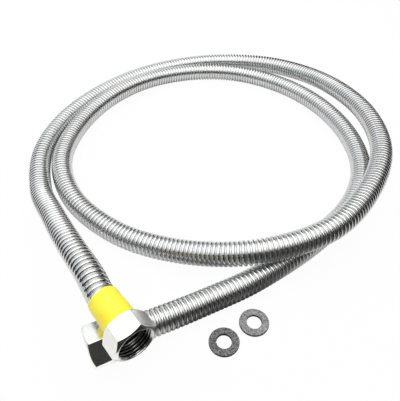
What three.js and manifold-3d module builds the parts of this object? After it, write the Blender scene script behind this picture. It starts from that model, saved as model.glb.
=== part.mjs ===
// Flexible gas hose with a loose union nut on each end.
//
// A corrugated stainless tube lies on a surface in a little under two loose turns. Each end of the
// tube is pressed into a neck and a flat sealing flange. A hexagon nut swivels behind that flange and
// pulls on a split ring that sits in the neck. A yellow sleeve marks one end, and two flat sealing
// washers lie beside the hose, taken out of the nuts.
//
// Millimetres, +Z up. The surface is z = 0 and the origin is under the middle of the whole hose.

import * as THREE from 'three';
import { mergeVertices } from 'three/addons/utils/BufferGeometryUtils.js';
import Module from 'manifold-3d';

const wasm = await Module();
wasm.setup();

// Corrugated tube
const HOSE_OD = 16.5;
const WALL_DEPTH = 2.05;
const TUBE_SIDES = 12;
const TUBE_STEPS = 80;

// Pressed end of the tube
const NECK_DEPTH = 1.25;
const NECK_LENGTH = 1.5;
const FLANGE_THICKNESS = 1;
const WELD_OVERLAP = 2;

// Union nut
const NUT_STEP = 1.2;
const NUT_WALL = 2.05;
const NUT_BACK_WALL = 1.7;
const THREAD_DEPTH = 9;
const MOUTH_CHAMFER = 0.75;
const MOUTH_LAND = 0.5;
const CORNER_CHAMFER_DEG = 30;
const RUNNING_GAP = 0.35;

// Split retaining ring
const RING_THICKNESS = 0.9;
const RING_SLOT = 2;

// Marking sleeve
const SLEEVE_LENGTH = 20.3;
const SLEEVE_FLARE = 0.5;
const SLEEVE_WALL = 0.5;
const SLEEVE_GAP = 0.5;

// Sealing washer
const WASHER_WIDTH = 4.6;
const WASHER_THICKNESS = 2;
const WASHER_EDGE = 0.25;

// How the ends lie: the sealing face's place, and the way the nut's mouth points
const FACE_A = [-42.8, -171.85];
const FACE_B = [-59.33, -165.57];
const HEADING_A_DEG = -51.75;
const HEADING_B_DEG = 206.2;
const NUT_A_TURN_DEG = 9;
const NUT_B_TURN_DEG = 9;
const FLOOR_GAP = 0.3;
const STACK_GAP = 0.6;

// Where the loose washers lie
const WASHER_DARK = [8.1, -158.9];
const WASHER_LIGHT = [26.7, -146.2];

// Straight run behind each sealing face
const STRAIGHT_A = 26;
const STRAIGHT_B = 14;

// Route of the hose's centre line between the straight runs: x, y and the lift above the height at
// which the hose lies on the surface
const ROUTE = [
  [-68.5, -136, 27.5], [-86, -110, 22.5], [-106.5, -76.5, 13], [-128, -37.5, 3],
  [-139.5, 11.5, 0], [-131.5, 61.5, 0], [-108.5, 106.5, 0], [-74.5, 143.5, 0],
  [-30.5, 168.5, 0], [19, 178.5, 0], [67.5, 166.5, 3], [105, 134, 8],
  [127, 89.5, 15], [139, 41, 19], [136.5, -9.5, 20], [115, -55.5, 20],
  [80, -93.5, 19.5], [32.5, -110, 16], [-16, -101, 4.5], [-63, -81, 0],
  [-100.5, -47.5, 0], [-120.5, -1.5, 0], [-117.5, 48, 0.5], [-96.5, 94, 2.5],
  [-62.5, 130.5, 2.5], [-17.5, 152.5, 0.5], [31.5, 152, 0], [75.5, 129, 0],
  [108, 90.5, 0], [125.5, 42.5, 0], [126, -8.5, 0], [106, -53.5, 0],
  [70, -90, 0], [29.5, -119.5, 0], [-4, -137.5, 0.5], [-29.5, -151, 3],
];

// How far a cutting shape reaches past the piece it cuts
const CUT_PAST = 1;

// Faces round each turned piece
const TURNED_SEGMENTS = 48;

// Sizes that follow from the ones above
const hoseRadius = HOSE_OD / 2;
const boreRadius = hoseRadius - WALL_DEPTH;
const threadRadius = hoseRadius + NUT_STEP;
const nutApothem = threadRadius + NUT_WALL;
const nutCorner = nutApothem / Math.cos(Math.PI / 6);
const landRadius = threadRadius + MOUTH_CHAMFER + MOUTH_LAND;
const flangeRadius = threadRadius - RUNNING_GAP;
const neckRadius = hoseRadius - NECK_DEPTH;
const ringInner = neckRadius + RUNNING_GAP;
const backHoleRadius = hoseRadius + RUNNING_GAP;
const neckEnd = FLANGE_THICKNESS + NECK_LENGTH;
const nutBack = neckEnd + NUT_BACK_WALL;
const nutLength = THREAD_DEPTH + nutBack;
const sleeveRadius = hoseRadius + RUNNING_GAP + SLEEVE_WALL;
const washerRadius = threadRadius - RUNNING_GAP;

// Heights of the two ends: nut B's lowest corner just clears the surface, and the sleeve at end A
// passes just over nut B at any turn of it
const nutBLowCorner = THREE.MathUtils.degToRad(30 - Math.abs(NUT_B_TURN_DEG));
const heightB = nutCorner * Math.cos(nutBLowCorner) + FLOOR_GAP;
const heightA = heightB + nutCorner + sleeveRadius + STACK_GAP;

function heading(degrees) {
  const angle = THREE.MathUtils.degToRad(degrees);
  return new THREE.Vector3(Math.cos(angle), Math.sin(angle), 0);
}

const faceA = new THREE.Vector3(...FACE_A, heightA);
const faceB = new THREE.Vector3(...FACE_B, heightB);
const outA = heading(HEADING_A_DEG);
const outB = heading(HEADING_B_DEG);

// A closed solid for joining and cutting, from any closed geometry
function toSolid(geometry) {
  const bare = geometry.index ? geometry.toNonIndexed() : geometry.clone();
  bare.deleteAttribute('normal');
  bare.deleteAttribute('uv');
  const merged = mergeVertices(bare, 1e-5);
  return new wasm.Manifold(new wasm.Mesh({
    numProp: 3,
    vertProperties: new Float32Array(merged.attributes.position.array),
    triVerts: new Uint32Array(merged.index.array),
  }));
}

function toGeometry(solid) {
  const mesh = solid.getMesh();
  const geometry = new THREE.BufferGeometry();
  geometry.setAttribute('position', new THREE.BufferAttribute(mesh.vertProperties, 3));
  geometry.setIndex(new THREE.BufferAttribute(mesh.triVerts, 1));
  geometry.computeVertexNormals();
  return geometry;
}

// A turned solid about +X, from [distance along X, radius] points that run from low X to high X
function turned(profile) {
  const points = profile.map(([along, radius]) => new THREE.Vector2(radius, along));
  const geometry = new THREE.LatheGeometry(points, TURNED_SEGMENTS);
  geometry.rotateZ(-Math.PI / 2);
  return toSolid(geometry);
}

// A turned ring about +X with a rectangular section
function turnedRing(from, to, inner, outer) {
  return turned([[from, inner], [from, outer], [to, outer], [to, inner], [from, inner]]);
}

// Place a geometry made about +X, with x = 0 at a sealing face, on one end of the hose
function placeAtEnd(geometry, face, out) {
  const turn = Math.atan2(out.y, out.x);
  geometry.rotateZ(turn);
  geometry.translate(face.x, face.y, face.z);
  return geometry;
}

// A smooth curve through the route's points that never sinks below the resting height
class RestingCurve extends THREE.CatmullRomCurve3 {
  getPoint(t, target) {
    const point = super.getPoint(t, target);
    point.z = Math.max(point.z, hoseRadius);
    return point;
  }
}

// The hose's centre line, from the sealing face of end A to that of end B
function centreLine() {
  const middle = ROUTE.map(([x, y, lift]) => new THREE.Vector3(x, y, hoseRadius + lift));
  const points = [
    faceA,
    faceA.clone().addScaledVector(outA, -STRAIGHT_A),
    ...middle,
    faceB.clone().addScaledVector(outB, -STRAIGHT_B),
    faceB,
  ];
  return new RestingCurve(points, false, 'catmullrom', 0.5);
}

// The part of the centre line that the corrugated wall follows, without the necks and flanges
class WallPath extends THREE.Curve {
  constructor(line, trim) {
    super();
    this.line = line;
    this.first = trim / line.getLength();
  }

  getPoint(t, target) {
    const along = this.first + t * (1 - 2 * this.first);
    return this.line.getPointAt(along, target);
  }
}

function ringShape(outer, inner, sides) {
  const shape = new THREE.Shape();
  const hole = new THREE.Path();
  for (let k = 0; k < sides; k += 1) {
    const angle = (k * 2 * Math.PI) / sides;
    const draw = k === 0 ? 'moveTo' : 'lineTo';
    shape[draw](outer * Math.cos(angle), outer * Math.sin(angle));
    hole[draw](inner * Math.cos(angle), inner * Math.sin(angle));
  }
  shape.closePath();
  hole.closePath();
  shape.holes.push(hole);
  return shape;
}

// Neck and sealing flange, pressed from the tube's own wall
function pressedEnd() {
  const root = neckEnd + WELD_OVERLAP;
  const wallRadius = (hoseRadius + neckRadius) / 2;
  return turned([
    [-root, boreRadius],
    [-root, wallRadius],
    [-neckEnd, wallRadius],
    [-neckEnd, neckRadius],
    [-FLANGE_THICKNESS, neckRadius],
    [-FLANGE_THICKNESS, flangeRadius],
    [0, flangeRadius],
    [0, boreRadius],
    [-root, boreRadius],
  ]);
}

function hoseGeometry() {
  const line = centreLine();
  line.arcLengthDivisions = 2000;
  const wall = new THREE.ExtrudeGeometry(ringShape(hoseRadius, boreRadius, TUBE_SIDES), {
    steps: TUBE_STEPS,
    bevelEnabled: false,
    extrudePath: new WallPath(line, neckEnd),
  });
  const endA = placeAtEnd(toGeometry(pressedEnd()), faceA, outA);
  const endB = placeAtEnd(toGeometry(pressedEnd()), faceB, outB);
  return toGeometry(toSolid(wall).add(toSolid(endA)).add(toSolid(endB)));
}

// Hexagon with both ends chamfered, a bore down to the inner shoulder, and a hole for the hose
function nutGeometry(turnDegrees) {
  const hexagon = new THREE.Shape();
  for (let k = 0; k < 6; k += 1) {
    const angle = Math.PI / 6 + (k * Math.PI) / 3;
    const draw = k === 0 ? 'moveTo' : 'lineTo';
    hexagon[draw](nutCorner * Math.sin(angle), nutCorner * Math.cos(angle));
  }
  hexagon.closePath();
  const bar = new THREE.ExtrudeGeometry(hexagon, { depth: nutLength, bevelEnabled: false });
  bar.translate(0, 0, -nutBack);
  bar.rotateX(Math.PI / 2);
  bar.rotateZ(Math.PI / 2);

  const reach = nutCorner + CUT_PAST;
  const slope = Math.tan(THREE.MathUtils.degToRad(CORNER_CHAMFER_DEG));
  const depth = (reach - landRadius) * slope;
  const chamfers = turned([
    [-nutBack, 0],
    [-nutBack, landRadius],
    [-nutBack + depth, reach],
    [THREAD_DEPTH - depth, reach],
    [THREAD_DEPTH, landRadius],
    [THREAD_DEPTH, 0],
  ]);
  const bore = turned([
    [-nutBack - CUT_PAST, 0],
    [-nutBack - CUT_PAST, backHoleRadius],
    [-neckEnd, backHoleRadius],
    [-neckEnd, threadRadius],
    [THREAD_DEPTH - MOUTH_CHAMFER, threadRadius],
    [THREAD_DEPTH, threadRadius + MOUTH_CHAMFER],
    [THREAD_DEPTH + CUT_PAST, threadRadius + MOUTH_CHAMFER],
    [THREAD_DEPTH + CUT_PAST, 0],
  ]);
  const geometry = toGeometry(toSolid(bar).intersect(chamfers).subtract(bore));
  geometry.rotateX(THREE.MathUtils.degToRad(turnDegrees));
  return geometry;
}

// A ring cut through on its upper side, sprung into the neck behind the flange
function splitRingGeometry() {
  const gap = (NECK_LENGTH - RING_THICKNESS) / 2;
  const from = -neckEnd + gap;
  const ring = turnedRing(from, from + RING_THICKNESS, ringInner, flangeRadius);
  const cutter = new THREE.BoxGeometry(RING_THICKNESS * 3, RING_SLOT, flangeRadius * 2);
  cutter.translate(from, 0, flangeRadius);
  return toGeometry(ring.subtract(toSolid(cutter)));
}

// A thin tube that widens towards the nut
function sleeveGeometry() {
  const near = -nutBack - SLEEVE_GAP;
  const far = near - SLEEVE_LENGTH;
  return toGeometry(turned([
    [far, sleeveRadius - SLEEVE_WALL],
    [far, sleeveRadius],
    [near, sleeveRadius + SLEEVE_FLARE],
    [near, sleeveRadius + SLEEVE_FLARE - SLEEVE_WALL],
    [far, sleeveRadius - SLEEVE_WALL],
  ]));
}

// A flat washer with its edges just broken
function washerGeometry([x, y]) {
  const outer = washerRadius;
  const inner = outer - WASHER_WIDTH;
  const top = WASHER_THICKNESS;
  const edge = WASHER_EDGE;
  const profile = [
    [inner, edge],
    [inner + edge, 0],
    [outer - edge, 0],
    [outer, edge],
    [outer, top - edge],
    [outer - edge, top],
    [inner + edge, top],
    [inner, top - edge],
    [inner, edge],
  ].map(([radius, height]) => new THREE.Vector2(radius, height));
  const geometry = new THREE.LatheGeometry(profile, TURNED_SEGMENTS);
  geometry.rotateX(Math.PI / 2);
  geometry.translate(x, y, 0);
  return toGeometry(toSolid(geometry));
}

const stainless = new THREE.MeshStandardMaterial({ color: 0xc9cbcc, roughness: 0.22, metalness: 1 });
const nickel = new THREE.MeshStandardMaterial({ color: 0xd9d9d3, roughness: 0.3, metalness: 1 });
const springSteel = new THREE.MeshStandardMaterial({ color: 0x9a9c9e, roughness: 0.35, metalness: 1 });
const yellowFilm = new THREE.MeshStandardMaterial({ color: 0xf6e94a, roughness: 0.45, metalness: 0 });
const darkFibre = new THREE.MeshStandardMaterial({ color: 0x5c5d5e, roughness: 0.9, metalness: 0 });
const lightFibre = new THREE.MeshStandardMaterial({ color: 0x8b8c8d, roughness: 0.9, metalness: 0 });

const hoseAssembly = new THREE.Group();

function addPiece(name, geometry, material) {
  const piece = new THREE.Mesh(geometry, material);
  piece.name = name;
  hoseAssembly.add(piece);
}

addPiece('hose', hoseGeometry(), stainless);
addPiece('nut_a', placeAtEnd(nutGeometry(NUT_A_TURN_DEG), faceA, outA), nickel);
addPiece('nut_b', placeAtEnd(nutGeometry(NUT_B_TURN_DEG), faceB, outB), nickel);
addPiece('split_ring_a', placeAtEnd(splitRingGeometry(), faceA, outA), springSteel);
addPiece('split_ring_b', placeAtEnd(splitRingGeometry(), faceB, outB), springSteel);
addPiece('marking_sleeve', placeAtEnd(sleeveGeometry(), faceA, outA), yellowFilm);
addPiece('washer_dark', washerGeometry(WASHER_DARK), darkFibre);
addPiece('washer_light', washerGeometry(WASHER_LIGHT), lightFibre);

export default hoseAssembly;
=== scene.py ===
"""Flexible gas hose: a corrugated stainless tube with a union nut on each end, in a loose double loop."""

import math

import bpy
import numpy as np
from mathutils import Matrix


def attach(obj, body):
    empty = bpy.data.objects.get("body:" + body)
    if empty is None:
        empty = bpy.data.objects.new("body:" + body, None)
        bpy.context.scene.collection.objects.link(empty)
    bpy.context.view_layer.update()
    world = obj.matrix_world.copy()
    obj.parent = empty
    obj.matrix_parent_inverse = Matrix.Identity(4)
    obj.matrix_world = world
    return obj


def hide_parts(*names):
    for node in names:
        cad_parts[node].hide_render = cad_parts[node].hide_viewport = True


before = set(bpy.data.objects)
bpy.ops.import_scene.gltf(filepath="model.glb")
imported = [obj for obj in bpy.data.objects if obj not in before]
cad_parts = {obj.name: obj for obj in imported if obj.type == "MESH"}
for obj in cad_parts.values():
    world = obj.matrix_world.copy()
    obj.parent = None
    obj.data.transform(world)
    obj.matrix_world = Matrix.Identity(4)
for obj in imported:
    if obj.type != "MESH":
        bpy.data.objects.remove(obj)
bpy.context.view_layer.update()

# Camera. It stands in front of the hose at a short arm's length and looks down at it at 44 degrees,
# through a lens a little longer than the width of its sensor.
photo_camera = bpy.data.cameras.new("photo_camera")
photo_camera.sensor_fit = "HORIZONTAL"
photo_camera.sensor_width = 36.0
photo_camera.lens = 39.24
photo_camera.clip_start = 0.01
photo_camera.clip_end = 20.0
photo_camera_stand = bpy.data.objects.new("photo_camera", photo_camera)
photo_camera_stand.location = (-0.0059, -0.2850, 0.23629)
photo_camera_stand.rotation_euler = (math.radians(46.173), 0.0, 0.0)
bpy.context.scene.collection.objects.link(photo_camera_stand)
bpy.context.scene.camera = photo_camera_stand

# Corrugated tube. One length of thin stainless tube, pressed into rings all along and bright annealed,
# with a plain neck and a flat sealing flange pressed on each end. It lies in a little under two turns.
HOSE_CREST = 0.00825
HOSE_ROOT = 0.00695
HOSE_BORE = 0.0062
HOSE_AROUND = 20
NECK_END = 0.0025

NUT_THREAD_RADIUS = 0.00945
NUT_FLAT = 0.0115
NUT_CORNER = NUT_FLAT / math.cos(math.pi / 6)
NUT_TURN = math.radians(9.0)
NUT_LOW_CORNER = math.radians(21.0)
SLEEVE_OUTER = 0.0091
FLOOR_GAP = 0.0003
STACK_GAP = 0.0006
END_B_HEIGHT = NUT_CORNER * math.cos(NUT_LOW_CORNER) + FLOOR_GAP
END_A_HEIGHT = END_B_HEIGHT + NUT_CORNER + SLEEVE_OUTER + STACK_GAP
FACE_A = np.array([-0.0428, -0.17185, END_A_HEIGHT])
FACE_B = np.array([-0.05933, -0.16557, END_B_HEIGHT])
HEADING_A = math.radians(-51.75)
HEADING_B = math.radians(206.2)
STRAIGHT_A = 0.026
STRAIGHT_B = 0.014

# The route's points in millimetres: x, y and the lift above the height at which the tube lies
HOSE_ROUTE = np.array([
    [-68.5, -136, 27.5], [-86, -110, 22.5], [-106.5, -76.5, 13], [-128, -37.5, 3],
    [-139.5, 11.5, 0], [-131.5, 61.5, 0], [-108.5, 106.5, 0], [-74.5, 143.5, 0],
    [-30.5, 168.5, 0], [19, 178.5, 0], [67.5, 166.5, 3], [105, 134, 8],
    [127, 89.5, 15], [139, 41, 19], [136.5, -9.5, 20], [115, -55.5, 20],
    [80, -93.5, 19.5], [32.5, -110, 16], [-16, -101, 4.5], [-63, -81, 0],
    [-100.5, -47.5, 0], [-120.5, -1.5, 0], [-117.5, 48, 0.5], [-96.5, 94, 2.5],
    [-62.5, 130.5, 2.5], [-17.5, 152.5, 0.5], [31.5, 152, 0], [75.5, 129, 0],
    [108, 90.5, 0], [125.5, 42.5, 0], [126, -8.5, 0], [106, -53.5, 0],
    [70, -90, 0], [29.5, -119.5, 0], [-4, -137.5, 0.5], [-29.5, -151, 3],
]) / 1000


def heading(angle):
    """The level direction at this angle from +X."""
    return np.array([math.cos(angle), math.sin(angle), 0.0])


def hose_centre_line(per_span=60):
    """Each span between two points is the cubic through them whose slope at a point is half the step
    between its two neighbours; the end points' neighbours are mirrored. Nothing sinks below the crest's
    radius. Returns points close together and the length run at each."""
    middle = HOSE_ROUTE + np.array([0.0, 0.0, HOSE_CREST])
    points = np.vstack([
        FACE_A, FACE_A - STRAIGHT_A * heading(HEADING_A), middle,
        FACE_B - STRAIGHT_B * heading(HEADING_B), FACE_B])
    points = np.vstack([2 * points[0] - points[1], points, 2 * points[-1] - points[-2]])
    before, start, stop, after = (points[k:len(points) - 3 + k, None, :] for k in range(4))
    u = (np.arange(per_span) / per_span)[None, :, None]
    line = 0.5 * (2 * start + (stop - before) * u
                  + (2 * before - 5 * start + 4 * stop - after) * u ** 2
                  + (3 * start - before - 3 * stop + after) * u ** 3)
    line = np.vstack([line.reshape(-1, 3), points[-2]])
    line[:, 2] = np.maximum(line[:, 2], HOSE_CREST)
    run = np.concatenate([[0.0], np.cumsum(np.linalg.norm(np.diff(line, axis=0), axis=1))])
    return line, run


def sweep(line, run, along, radius, around):
    """A profile carried along the line: at each length run the ring's centre is on the line, and its
    points are centre + radius * (side * cos(angle) + over * sin(angle)), where side is level and
    square to the line and over is square to both. Returns rows of points and the centres."""
    centre = np.stack([np.interp(along, run, line[:, k]) for k in range(3)], axis=1)
    slope = np.gradient(line, run, axis=0)
    ahead = np.stack([np.interp(along, run, slope[:, k]) for k in range(3)], axis=1)
    ahead /= np.linalg.norm(ahead, axis=1)[:, None]
    side = np.cross([0.0, 0.0, 1.0], ahead)
    side /= np.linalg.norm(side, axis=1)[:, None]
    over = np.cross(ahead, side)
    angle = np.arange(around) * 2 * np.pi / around
    spoke = (side[:, None, :] * np.cos(angle)[None, :, None]
             + over[:, None, :] * np.sin(angle)[None, :, None])
    return centre[:, None, :] + radius[:, None, None] * spoke, centre


def ring_piece(name, rows):
    """A closed shell from rows of points: each row joins the next, the last row joins the first, and
    each row closes on itself, so that the surface is a ring with a tube-shaped section."""
    high, wide = rows.shape[:2]
    here = np.arange(high * wide).reshape(high, wide)
    down = np.roll(here, -1, axis=0)
    faces = np.stack([here, np.roll(here, -1, axis=1), np.roll(down, -1, axis=1), down], axis=-1)
    mesh = bpy.data.meshes.new(name)
    mesh.from_pydata(rows.reshape(-1, 3).tolist(), [], faces.reshape(-1, 4).tolist())
    mesh.shade_smooth()
    piece = bpy.data.objects.new(name, mesh)
    bpy.context.scene.collection.objects.link(piece)
    return piece


def point_value(piece, name, values):
    """A number kept at each point of the piece, which its material reads as an attribute."""
    piece.data.attributes.new(name, "FLOAT", "POINT").data.foreach_set("value", np.ravel(values))


hose_line, hose_run = hose_centre_line()
hose_length = hose_run[-1]


def ring_starts():
    """Where each ring starts along the tube. The pitch runs from 3.5 mm, where the tube has been drawn
    out a little behind nut A, to 2.95 mm near nut B, and the rings are counted off along it."""
    run = np.linspace(NECK_END, hose_length - NECK_END, 4000)
    pitch = np.interp(run, [0.0, 0.16, 0.45, 0.90, 1.78], [0.0035, 0.0034, 0.0031, 0.00305, 0.00295])
    count = np.concatenate([[0.0], np.cumsum(np.diff(run) * (1 / pitch[1:] + 1 / pitch[:-1]) / 2)])
    whole = int(count[-1])
    return np.interp(np.arange(whole + 1) * count[-1] / whole, count, run)


ring_edges = ring_starts()
ring_part = np.array([0.0, 0.13, 0.23, 0.32, 0.50, 0.68, 0.77, 0.87])
ring_rise = np.array([0.0, 0.06, 0.82, 0.97, 1.0, 0.97, 0.82, 0.06])
wall_along = (ring_edges[:-1, None] + np.diff(ring_edges)[:, None] * ring_part).ravel()
wall_rise = np.tile(ring_rise, len(ring_edges) - 1)
flange_along = np.array([0.0, 0.0, 0.00012, 0.00088, 0.0010, 0.0010, 0.00115, 0.0024])
flange_radius = np.array([0.0063, 0.00898, 0.0091, 0.0091, 0.00898, 0.00712, 0.0070, 0.0070])
bore_along = np.linspace(hose_length - 0.0001, 0.0001, 90)
hose_along = np.concatenate([
    flange_along, wall_along, [hose_length - NECK_END], hose_length - flange_along[::-1], bore_along])
hose_radius = np.concatenate([
    flange_radius, HOSE_ROOT + (HOSE_CREST - HOSE_ROOT) * wall_rise, [HOSE_ROOT],
    flange_radius[::-1], np.full(len(bore_along), HOSE_BORE)])
hose_rows, hose_centres = sweep(hose_line, hose_run, hose_along, hose_radius, HOSE_AROUND)
hose = ring_piece("corrugated_hose", hose_rows[::-1])
hose_rise = np.clip((hose_radius - HOSE_ROOT) / (HOSE_CREST - HOSE_ROOT), 0.0, 1.0)
on_wall = (hose_along >= NECK_END) & (hose_along <= hose_length - NECK_END) & (hose_radius > HOSE_BORE)
point_value(hose, "rise", np.repeat(hose_rise[::-1], HOSE_AROUND))
point_value(hose, "wall", np.repeat(np.where(on_wall, 1.0, 0.0)[::-1], HOSE_AROUND))


class Wire:
    """A shader socket. +, - and * on wires and numbers add Math nodes, and node() adds any other."""

    def __init__(self, tree, socket=None):
        self.tree = tree
        self.socket = socket

    def node(self, kind, settings=None, sockets=None, out=0):
        """Adds a node, with its settings made first and then its sockets' values or links."""
        made = self.tree.nodes.new(kind)
        for setting, value in (settings or {}).items():
            if setting == "stops":
                ramp = made.color_ramp
                while len(ramp.elements) < len(value):
                    ramp.elements.new(0.5)
                for stop, (place, colour) in zip(ramp.elements, value):
                    stop.position = place
                    stop.color = colour
            else:
                setattr(made, setting, value)
        for place, value in (sockets or {}).items():
            if isinstance(value, Wire):
                self.tree.links.new(value.socket, made.inputs[place])
            else:
                made.inputs[place].default_value = value
        return Wire(self.tree, made.outputs[out] if len(made.outputs) else None)

    def sum_node(self, operation, first, second):
        return self.node("ShaderNodeMath", {"operation": operation}, {0: first, 1: second})

    def __add__(self, other):
        return self.sum_node("ADD", self, other)

    def __radd__(self, other):
        return self.sum_node("ADD", other, self)

    def __sub__(self, other):
        return self.sum_node("SUBTRACT", self, other)

    def __rsub__(self, other):
        return self.sum_node("SUBTRACT", other, self)

    def __mul__(self, other):
        return self.sum_node("MULTIPLY", self, other)

    def __rmul__(self, other):
        return self.sum_node("MULTIPLY", other, self)

    def step(self, low, high):
        """Runs smoothly from 0 where this is low to 1 where it is high."""
        return self.node("ShaderNodeMapRange", {"interpolation_type": "SMOOTHSTEP"},
                         {0: self, 1: low, 2: high})

    def blend(self, zero, one):
        """The first colour where this is 0 and the second where it is 1."""
        return self.node("ShaderNodeMix", {"data_type": "RGBA"}, {0: self, 6: zero, 7: one}, out=2)


def start_finish(name):
    """A new material with nothing in it, as a wire to build it from."""
    finish = bpy.data.materials.new(name)
    finish.use_nodes = True
    finish.node_tree.nodes.clear()
    return finish, Wire(finish.node_tree)


def put_on(finish, wire, surface):
    """Ends a material with this surface."""
    wire.node("ShaderNodeOutputMaterial", sockets={"Surface": surface})
    return finish


def speckle(wire, place, scale, detail=3.0, roughness=0.55):
    """Noise over the piece's own coordinates, from about 0.3 to 0.7."""
    return wire.node("ShaderNodeTexNoise", sockets={
        "Vector": place, "Scale": scale, "Detail": detail, "Roughness": roughness})


def bright_tube_finish():
    """Bright annealed stainless: polished crests and roots a little rougher. The roots' colour is a little
    darker than the crests', a painted shade in the grooves, and the pressed ends and the bore are near
    black, a painted shade inside the nuts and the tube."""
    finish, wire = start_finish("bright_stainless_tube")
    place = wire.node("ShaderNodeTexCoord", out=3)
    rise = wire.node("ShaderNodeAttribute", {"attribute_name": "rise"}, out=2)
    wall = wire.node("ShaderNodeAttribute", {"attribute_name": "wall"}, out=2)
    cloud = speckle(wire, place, 45.0)
    fine = speckle(wire, place, 900.0, 2.0)
    # Painted shade: the roots take a slightly darker colour than the crests
    shade = rise.step(0.0, 0.75)
    crest = cloud.step(0.3, 0.7).blend((0.64, 0.645, 0.64, 1), (0.72, 0.725, 0.725, 1))
    tube = shade.blend((0.62, 0.62, 0.615, 1), crest)
    # Painted shade: the neck, flange and bore, off the corrugated wall, are near black
    colour = wall.blend((0.05, 0.05, 0.048, 1), tube)
    rough = 0.42 - 0.04 * wall - 0.22 * shade * wall + 0.10 * (fine - 0.5) + 0.10 * (cloud - 0.5)
    bump = wire.node("ShaderNodeBump", sockets={"Strength": 0.08, "Distance": 0.0001, "Height": fine})
    surface = wire.node("ShaderNodeBsdfPrincipled", sockets={
        "Base Color": colour, "Metallic": 1.0, "Roughness": rough, "Normal": bump})
    return put_on(finish, wire, surface)


hose.data.set_sharp_from_angle(angle=math.radians(50))
hose.data.materials.append(bright_tube_finish())
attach(hose, "hose_body")
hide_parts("hose")

# Union nuts. Each is cut from hexagon bar, 23 mm across the flats, nickel plated, with both ends turned
# back to a narrow bright land, a half-inch gas thread inside, and a shoulder that pulls on the split ring.
NUT_MOUTH = 0.0090
NUT_BACK = -0.0042
NUT_SHOULDER = -0.0025
NUT_BACK_HOLE = 0.0086
NUT_EDGE_RADIUS = 0.0004
NUT_END_FLAT = 0.0107
NUT_SOFT_EDGE = 0.00012
NUT_BACK_CHAMFER = 0.0003
MOUTH_CHAMFER = 0.00075
THREAD_PITCH = 0.001814
THREAD_DEPTH = 0.00090
THREAD_START = 0.0008
THREAD_RUN_IN = 0.0012
THREAD_RUN_OUT = 0.0005
# How far behind the mouth the bore's painted shade begins, and the length over which it deepens
SHADE_FROM_MOUTH = 0.0006
SHADE_FADE_LENGTH = 0.0016


def hexagon_radius(angle):
    """Distance from the axis to a hexagon with rounded edges: flat / cos(a) on a flat, with a the
    angle from the middle of that flat, and on an edge the far side of the circle that fits it."""
    off = np.abs((angle + np.pi / 6) % (np.pi / 3) - np.pi / 6)
    from_edge = np.pi / 6 - off
    reach = (NUT_FLAT - NUT_EDGE_RADIUS) / math.cos(math.pi / 6)
    edge = reach * np.cos(from_edge) + np.sqrt(
        np.maximum(NUT_EDGE_RADIUS ** 2 - (reach * np.sin(from_edge)) ** 2, 0.0))
    touch = math.atan((NUT_FLAT - NUT_EDGE_RADIUS) * math.tan(math.pi / 6) / NUT_FLAT)
    return np.where(off < touch, NUT_FLAT / np.cos(off), edge)


def nut_rows(turn):
    """Rows round the nut's section, each a radius and a place along the axis for every angle. Outside
    it is the hexagon, cut back at both ends by a 30 degree cone, and the mouth's land is a low round
    bead. Inside, the thread's radius is the bore's plus the depth times a rounded triangle wave of
    (place / pitch - angle / full turn). Also returns, for each point, how far it is in the bore, and
    how near the thread's crest."""
    sector = np.radians([-29.1, -28.6, -20, -10, 0, 10, 20, 28.6, 29.1, 29.4, 29.7, 30, 30.3, 30.6])
    angle = (sector[None, :] + np.arange(6)[:, None] * np.pi / 3).ravel()
    hexagon = hexagon_radius(angle)
    cut = (hexagon - NUT_END_FLAT) * math.tan(math.pi / 6)
    level = np.ones_like(angle)
    soft = NUT_SOFT_EDGE
    bead = (NUT_END_FLAT - NUT_THREAD_RADIUS - MOUTH_CHAMFER) / 2
    outer = [
        ((NUT_MOUTH - soft + soft * math.sin(t)) * level, (NUT_END_FLAT - bead - bead * math.cos(t)) * level)
        for t in np.radians([12, 45, 75, 105, 135, 168])]
    outer += [
        (NUT_MOUTH - cut + 0.5 * soft, hexagon - 0.8 * soft),
        (NUT_MOUTH - cut - soft, hexagon),
        (NUT_MOUTH - cut - 4 * soft, hexagon),
        (NUT_BACK + cut + 4 * soft, hexagon),
        (NUT_BACK + cut + soft, hexagon),
        (NUT_BACK + cut - 0.5 * soft, hexagon - 0.8 * soft),
        (NUT_BACK + 0.4 * soft * level, (NUT_END_FLAT + 0.5 * soft) * level),
        (NUT_BACK * level, (NUT_END_FLAT - soft) * level),
        (NUT_BACK * level, (NUT_BACK_HOLE + NUT_BACK_CHAMFER) * level),
        (NUT_BACK + NUT_BACK_CHAMFER * level, NUT_BACK_HOLE * level),
        (NUT_SHOULDER * level, NUT_BACK_HOLE * level),
        (NUT_SHOULDER * level, NUT_THREAD_RADIUS * level),
    ]
    place = np.arange(0.0006, NUT_MOUTH - 0.00005, THREAD_PITCH / 12)[:, None]
    phase = 2 * np.pi * (place / THREAD_PITCH - angle[None, :] / (2 * np.pi))
    wave = 0.5 + np.arcsin(0.93 * np.sin(phase)) / (2 * np.arcsin(0.93))
    run_in = np.clip((place - THREAD_START) / THREAD_RUN_IN, 0.0, 1.0)
    run_out = np.clip((NUT_MOUTH - place) / THREAD_RUN_OUT, 0.0, 1.0)
    fade = run_in * run_out
    thread = NUT_THREAD_RADIUS + THREAD_DEPTH * fade * wave
    cone = NUT_THREAD_RADIUS + np.maximum(place - (NUT_MOUTH - MOUTH_CHAMFER), 0.0)
    thread = np.maximum(thread, cone)
    along = np.vstack([np.array([row[0] for row in outer]), np.broadcast_to(place, thread.shape)])
    radius = np.vstack([np.array([row[1] for row in outer]), thread])
    spin = angle[None, :] - turn
    rows = np.stack([along, radius * np.sin(spin), radius * np.cos(spin)], axis=-1)
    # How deep each point is in the bore, which the material turns into painted shade
    inside = np.zeros_like(along)
    inside[len(outer) - 2:] = 1.0
    inside *= np.clip((NUT_MOUTH - SHADE_FROM_MOUTH - along) / SHADE_FADE_LENGTH, 0.0, 1.0)
    crest = np.zeros_like(along)
    crest[len(outer):] = 1.0 - wave * fade
    return rows, inside, crest


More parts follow.
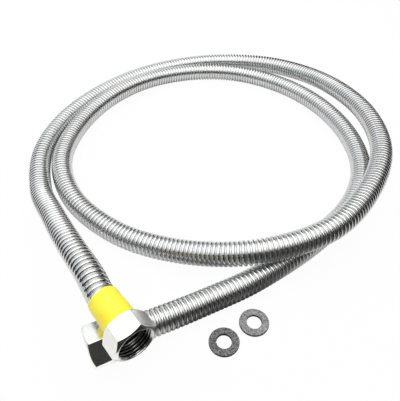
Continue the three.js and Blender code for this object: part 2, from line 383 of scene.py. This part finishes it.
def at_end(rows, face, direction):
    """Points made about +X, with x = 0 at a sealing face, turned to an end's heading and moved there."""
    c, s = math.cos(direction), math.sin(direction)
    turned = np.stack([rows[..., 0] * c - rows[..., 1] * s,
                       rows[..., 0] * s + rows[..., 1] * c, rows[..., 2]], axis=-1)
    return turned + face


def nut_finish():
    """Nickel plate with faint clouding and a little tarnish. From just behind the mouth the bore fades
    into painted shade: near black in its thread's roots, with a painted highlight of mid grey on its crests."""
    finish, wire = start_finish("nickel_plate")
    place = wire.node("ShaderNodeTexCoord", out=3)
    inside = wire.node("ShaderNodeAttribute", {"attribute_name": "inside"}, out=2)
    crest = wire.node("ShaderNodeAttribute", {"attribute_name": "crest"}, out=2)
    cloud = speckle(wire, place, 70.0)
    fine = speckle(wire, place, 1400.0, 2.0)
    plate = cloud.step(0.35, 0.65).blend((0.86, 0.855, 0.82, 1), (0.92, 0.915, 0.88, 1))
    # Painted shade in the bore: near black thread roots, with a painted highlight on the crests
    thread = crest.step(0.40, 0.95).blend((0.008, 0.008, 0.008, 1), (0.55, 0.55, 0.54, 1))
    colour = inside.blend(plate, thread)
    rough = 0.17 + 0.12 * (cloud - 0.5) + 0.10 * (fine - 0.5) + 0.12 * inside
    bump = wire.node("ShaderNodeBump", sockets={"Strength": 0.05, "Distance": 0.0001, "Height": fine})
    surface = wire.node("ShaderNodeBsdfPrincipled", sockets={
        "Base Color": colour, "Metallic": 1.0, "Roughness": rough, "Normal": bump})
    return put_on(finish, wire, surface)


nickel = nut_finish()
nut_points, nut_inside, nut_crest = nut_rows(NUT_TURN)
nut_a = ring_piece("union_nut_a", at_end(nut_points, FACE_A, HEADING_A))
nut_b = ring_piece("union_nut_b", at_end(nut_points, FACE_B, HEADING_B))
for nut, node, body in ((nut_a, "nut_a", "nut_a_body"), (nut_b, "nut_b", "nut_b_body")):
    point_value(nut, "inside", nut_inside)
    point_value(nut, "crest", nut_crest)
    nut.data.set_sharp_from_angle(angle=math.radians(40))
    nut.data.materials.append(nickel)
    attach(nut, body)
    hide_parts(node)

# Split rings. Each is a turn of drawn spring steel wire with a gap, sprung into the pressed neck
# behind the flange, where it carries the nut's pull.


def ring_steel_finish():
    """Drawn spring steel, darker and duller than the tube."""
    finish, wire = start_finish("drawn_spring_steel")
    place = wire.node("ShaderNodeTexCoord", out=3)
    cloud = speckle(wire, place, 500.0)
    colour = cloud.step(0.3, 0.7).blend((0.42, 0.42, 0.43, 1), (0.58, 0.58, 0.59, 1))
    surface = wire.node("ShaderNodeBsdfPrincipled", sockets={
        "Base Color": colour, "Metallic": 1.0, "Roughness": 0.28 + 0.2 * (cloud - 0.5)})
    return put_on(finish, wire, surface)


spring_steel = ring_steel_finish()
for node in ("split_ring_a", "split_ring_b"):
    ring_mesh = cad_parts[node].data
    ring_mesh.materials.clear()
    ring_mesh.materials.append(spring_steel)

# Marking sleeve. A short length of soft yellow film behind nut A, snug on the corrugations at its free
# edge, where the rings beneath it show faintly, and half a millimetre wider where it meets the nut.
SLEEVE_FROM = -0.0047
SLEEVE_LENGTH = 0.0203
SLEEVE_RADIUS = 0.00902
SLEEVE_WALL = 0.0004
SLEEVE_FLARE = 0.0005
SLEEVE_RING_DEPTH = 0.00008


def sleeve_rows(around=72):
    """Rows round the sleeve's section: the outer wall's radius is the sleeve's, growing by the flare
    towards the nut, less a shallow wave with the tube's pitch that is strongest at the free edge, plus
    a slow ripple; the inner wall is 0.4 mm inside."""
    angle = np.arange(around) * 2 * np.pi / around
    share = np.linspace(0.0, 1.0, 37)[:, None]
    edge = 0.0003 * np.sin(2 * angle + 0.6) + 0.0002 * np.sin(5 * angle)
    along = SLEEVE_FROM - share * (SLEEVE_LENGTH - 0.0006 + edge[None, :])
    wave = 0.5 - 0.5 * np.cos(2 * np.pi * (along + NECK_END) / (ring_edges[4] - ring_edges[3]))
    snug = np.clip(share / 0.12, 0.0, 1.0) * np.clip((1 - share) / 0.05, 0.0, 1.0)
    ripple = 0.00004 * np.sin(3 * angle + 9 * share) + 0.00003 * np.sin(7 * angle - 14 * share)
    rings = SLEEVE_RING_DEPTH * wave * snug * share
    outer = SLEEVE_RADIUS + SLEEVE_FLARE * (1 - share) - rings + ripple * snug
    inner = outer - SLEEVE_WALL
    along = np.vstack([along, along[::-1]])
    radius = np.vstack([outer, inner[::-1]])
    return np.stack([along, radius * np.sin(angle), radius * np.cos(angle)], axis=-1)


def sleeve_finish():
    """Bright fluorescent yellow film, slightly glossy. It glows a little orange of its own, a painted
    light that warms the film where it is in shade."""
    finish, wire = start_finish("yellow_shrink_film")
    place = wire.node("ShaderNodeTexCoord", out=3)
    cloud = speckle(wire, place, 110.0)
    fine = speckle(wire, place, 1800.0, 2.0)
    colour = cloud.step(0.3, 0.7).blend((0.98, 0.87, 0.035, 1), (1.0, 0.96, 0.065, 1))
    rough = 0.38 + 0.15 * (cloud - 0.5) + 0.1 * (fine - 0.5)
    bump = wire.node("ShaderNodeBump", sockets={"Strength": 0.15, "Distance": 0.0002, "Height": cloud})
    # The orange glow is painted light, a warm fill in the film's shade
    surface = wire.node("ShaderNodeBsdfPrincipled", sockets={
        "Base Color": colour, "Roughness": rough, "Normal": bump, "IOR": 1.48,
        "Emission Color": (1.0, 0.60, 0.05, 1), "Emission Strength": 0.14})
    return put_on(finish, wire, surface)


sleeve = ring_piece("yellow_sleeve", at_end(sleeve_rows(), FACE_A, HEADING_A))
sleeve.data.materials.append(sleeve_finish())
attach(sleeve, "hose_body")
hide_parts("marking_sleeve")

# Sealing washers. Two flat rings stamped from pressed fibre board, one darker than the other, lying
# loose beside the hose. Their edges are broken by the die and their faces are mottled.
WASHER_AROUND = 96
WASHER_SWAY = 0.00004
# The section's points in millimetres from the axis and the floor, and how much painted shade each takes:
# most on the hole's wall, less round the outer edge
WASHER_SECTION = np.array([
    [4.50, 0.35], [4.65, 0.08], [4.90, 0.0], [7.00, 0.0], [8.75, 0.0], [9.02, 0.10], [9.10, 0.40],
    [9.10, 1.60], [9.02, 1.88], [8.75, 2.00], [8.00, 1.99], [7.00, 2.00], [6.00, 1.99],
    [4.90, 2.00], [4.65, 1.92], [4.50, 1.65]]) / 1000
WASHER_EDGE_SHADE = np.array([1, 0.5, 0, 0, 0, 0.2, 0.4, 0.4, 0.2, 0, 0, 0, 0, 0, 0.5, 1])


def washer_rows(x, y, seed):
    """Rows round the washer's section, from the hole's lower edge out and back over the top. Each
    point moves by a few hundredths of a millimetre, as a sum of slow waves round the ring."""
    out, up = WASHER_SECTION[:, :1], WASHER_SECTION[:, 1:]
    angle = np.arange(WASHER_AROUND) * 2 * np.pi / WASHER_AROUND
    sway = (np.sin(3 * angle + seed) + np.sin(5 * angle + 2 * seed) + np.sin(11 * angle + 3 * seed)) / 3
    radius = out + WASHER_SWAY * (sway[None, :] - 1) * np.sign(out - 0.007)
    height = up + WASHER_SWAY * (sway[None, :] - 1) * (up > 0.001)
    return np.stack([x + radius * np.cos(angle), y + radius * np.sin(angle),
                     height + 0 * angle], axis=-1)


def fibre_finish(name, dark, light, fleck, edge):
    """Pressed fibre: light and dark fibres a few tenths of a millimetre across, over slow clouding. The
    hole's wall and the outer edge are painted darker, a painted shade."""
    finish, wire = start_finish(name)
    place = wire.node("ShaderNodeTexCoord", out=3)
    cut = wire.node("ShaderNodeAttribute", {"attribute_name": "cut"}, out=2)
    grain = speckle(wire, place, 1000.0, 3.0, 0.65)
    cloud = speckle(wire, place, 260.0)
    mixed = (0.75 * grain + 0.25 * cloud).step(0.41, 0.60)
    colour = mixed.blend(dark, light)
    spots = speckle(wire, place, 1300.0, 2.0).step(0.58, 0.66)
    # Painted shade on the hole's wall and the outer edge, darkest on the wall
    colour = (0.85 * cut).blend(spots.blend(colour, fleck), edge)
    bump = wire.node("ShaderNodeBump", sockets={"Strength": 0.6, "Distance": 0.0002, "Height": grain})
    surface = wire.node("ShaderNodeBsdfPrincipled", sockets={
        "Base Color": colour, "Roughness": 0.78 + 0.3 * (grain - 0.5), "Normal": bump})
    return put_on(finish, wire, surface)


# Each washer's last colour is its painted shade for the hole's wall and outer edge
washer_dark = ring_piece("fibre_washer_dark", washer_rows(0.0081, -0.1589, 0.4))
washer_dark.data.materials.append(fibre_finish(
    "dark_pressed_fibre", (0.048, 0.049, 0.050, 1), (0.21, 0.21, 0.21, 1), (0.40, 0.40, 0.39, 1),
    (0.015, 0.015, 0.015, 1)))
washer_light = ring_piece("fibre_washer_light", washer_rows(0.0267, -0.1462, 2.1))
washer_light.data.materials.append(fibre_finish(
    "light_pressed_fibre", (0.14, 0.14, 0.14, 1), (0.38, 0.38, 0.38, 1), (0.56, 0.56, 0.56, 1),
    (0.045, 0.045, 0.045, 1)))
for washer, node, slot in ((washer_dark, "washer_dark", "dark_fibre"),
                           (washer_light, "washer_light", "light_fibre")):
    # The painted shade's weight at each point
    point_value(washer, "cut", np.repeat(WASHER_EDGE_SHADE, WASHER_AROUND))
    washer.data.set_sharp_from_angle(angle=math.radians(50))
    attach(washer, "hose_body")
    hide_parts(node)

# Studio. A white table that keeps the hose's soft shadow, in a white room, under one large soft box.
# Dark cards stand round the table out of view, and the metal mirrors them as its dark lines.


def table_finish():
    """White paper: nearly all its own white to the camera, and a fifth so in reflections, where its
    shadows show, but wholly so in front of nut B, whose lower face mirrors it, a painted light that lifts
    the shadow there.
    Its front part, from between the near strands to right of the nuts, is painted dark for all but the
    camera's rays, a painted shade that the metal mirrors."""
    finish, wire = start_finish("white_table")
    seen = wire.node("ShaderNodeLightPath").socket.node.outputs
    camera_ray = Wire(wire.tree, seen["Is Camera Ray"])
    glossy_ray = Wire(wire.tree, seen["Is Glossy Ray"])
    clear_ray = Wire(wire.tree, seen["Is Transmission Ray"])
    place = wire.node("ShaderNodeTexCoord", out=3)
    apart = wire.node("ShaderNodeSeparateXYZ", sockets={0: place}).socket.node.outputs
    x, y = Wire(wire.tree, apart[0]), Wire(wire.tree, apart[1])
    # Between the near strands the painted dark part, a painted shade seen only in reflections and bounced
    # light, reaches 45 mm further to the left
    x_for_dark = x + 0.045 * y.step(-0.160, -0.148)
    dark = x_for_dark.step(-0.03, 0.0) * y.step(-0.105, -0.130) * (1 - camera_ray)
    # Painted light: under nut B, reflections see the table's full white glow, without its shadow
    painted_light_by_nut_b = x.step(-0.082, -0.076) * x.step(-0.048, -0.054) * y.step(-0.170, -0.173)
    paper = wire.node("ShaderNodeBsdfDiffuse", sockets={
        "Color": dark.blend((0.90, 0.90, 0.90, 1), (0.12, 0.12, 0.12, 1))})
    glow = wire.node("ShaderNodeEmission", sockets={
        "Color": dark.blend((1.0, 1.0, 1.0, 1), (0.10, 0.10, 0.10, 1)), "Strength": 1.0})
    share = 0.96 * camera_ray + (0.2 + 0.8 * painted_light_by_nut_b) * (glossy_ray + clear_ray)
    surface = wire.node("ShaderNodeMixShader", sockets={0: share, 1: paper, 2: glow})
    return put_on(finish, wire, surface)


def card_finish(name, tone):
    """Matt card of one plain tone."""
    finish, wire = start_finish(name)
    surface = wire.node("ShaderNodeBsdfDiffuse", sockets={"Color": (tone, tone, tone, 1)})
    return put_on(finish, wire, surface)


def flat_sheet(name, corners, finish):
    """A flat sheet with these four corners, which is part of the studio."""
    mesh = bpy.data.meshes.new(name)
    mesh.from_pydata(corners, [], [(0, 1, 2, 3)])
    mesh.materials.append(finish)
    made = bpy.data.objects.new(name, mesh)
    bpy.context.scene.collection.objects.link(made)
    return made


def flag(name, start, stop, height, finish):
    """A card that stands on the table from one corner to the other, and that the camera doesn't see."""
    corners = [(*start, 0), (*stop, 0), (*stop, height), (*start, height)]
    flat_sheet(name, corners, finish).visible_camera = False


def cloth(name, left, right, back, finish):
    """A card that lies on the table from the front flag to this far back, unseen by the camera."""
    corners = [(left, FLAG_FRONT, 0), (right, FLAG_FRONT, 0), (right, back, 0), (left, back, 0)]
    flat_sheet(name, corners, finish).visible_camera = False


TABLE_REACH = 3.0
TABLE_DROP = -0.0003
FLAG_SIDE = 1.2
FLAG_FRONT = -0.9
flat_sheet("white_table", [
    (-TABLE_REACH, -TABLE_REACH, TABLE_DROP), (TABLE_REACH, -TABLE_REACH, TABLE_DROP),
    (TABLE_REACH, TABLE_REACH, TABLE_DROP), (-TABLE_REACH, TABLE_REACH, TABLE_DROP)], table_finish())
black_card = card_finish("black_card", 0.03)
grey_card = card_finish("grey_card", 0.08)
flag("flag_front", (-FLAG_SIDE, FLAG_FRONT), (FLAG_SIDE, FLAG_FRONT), 0.85, grey_card)
flag("flag_left", (-FLAG_SIDE, FLAG_FRONT), (-FLAG_SIDE, 0.2), 0.28, black_card)
flag("flag_near", (FLAG_SIDE, FLAG_FRONT), (FLAG_SIDE, 0.0), 1.4, grey_card)
flag("flag_right", (FLAG_SIDE, 0.0), (FLAG_SIDE, FLAG_SIDE), 0.65, black_card)
flag("flag_back", (0.08, FLAG_SIDE), (FLAG_SIDE, FLAG_SIDE), 1.25, black_card)
cloth("cloth_left", -FLAG_SIDE, 0, -0.235, black_card)
cloth("cloth_right", 0, FLAG_SIDE, -0.197, black_card)

room = bpy.data.worlds.new("studio_room")
room.use_nodes = True
room.node_tree.nodes.clear()
room_wire = Wire(room.node_tree)
room_rays = room_wire.node("ShaderNodeLightPath").socket.node.outputs
mirrored = (Wire(room.node_tree, room_rays["Is Camera Ray"])
            + Wire(room.node_tree, room_rays["Is Glossy Ray"])
            + Wire(room.node_tree, room_rays["Is Transmission Ray"]))
room_way = room_wire.node("ShaderNodeTexCoord", out=0)
room_side = room_wire.node("ShaderNodeSeparateXYZ", sockets={0: room_way})
room_mirrored = room_side.step(-0.9, 0.2).blend((0.91, 0.96, 1.0, 1), (1.0, 1.0, 0.97, 1))
room_seen = Wire(room.node_tree, room_rays["Is Camera Ray"]).blend(room_mirrored, (1.0, 1.0, 1.0, 1))
room_colour = mirrored.blend((0.85, 0.85, 0.85, 1), room_seen)
room_light = room_wire.node("ShaderNodeBackground", sockets={"Color": room_colour, "Strength": 1.0})
room_wire.node("ShaderNodeOutputWorld", sockets={"Surface": room_light})
bpy.context.scene.world = room

soft_box = bpy.data.lights.new("soft_box", "AREA")
soft_box.shape = "RECTANGLE"
soft_box.size = 1.4
soft_box.size_y = 1.2
soft_box.energy = 5.8
soft_box_stand = bpy.data.objects.new("soft_box", soft_box)
soft_box_stand.location = (0.0, 0.05, 0.9)
bpy.context.scene.collection.objects.link(soft_box_stand)

bpy.context.scene.view_settings.view_transform = "Standard"
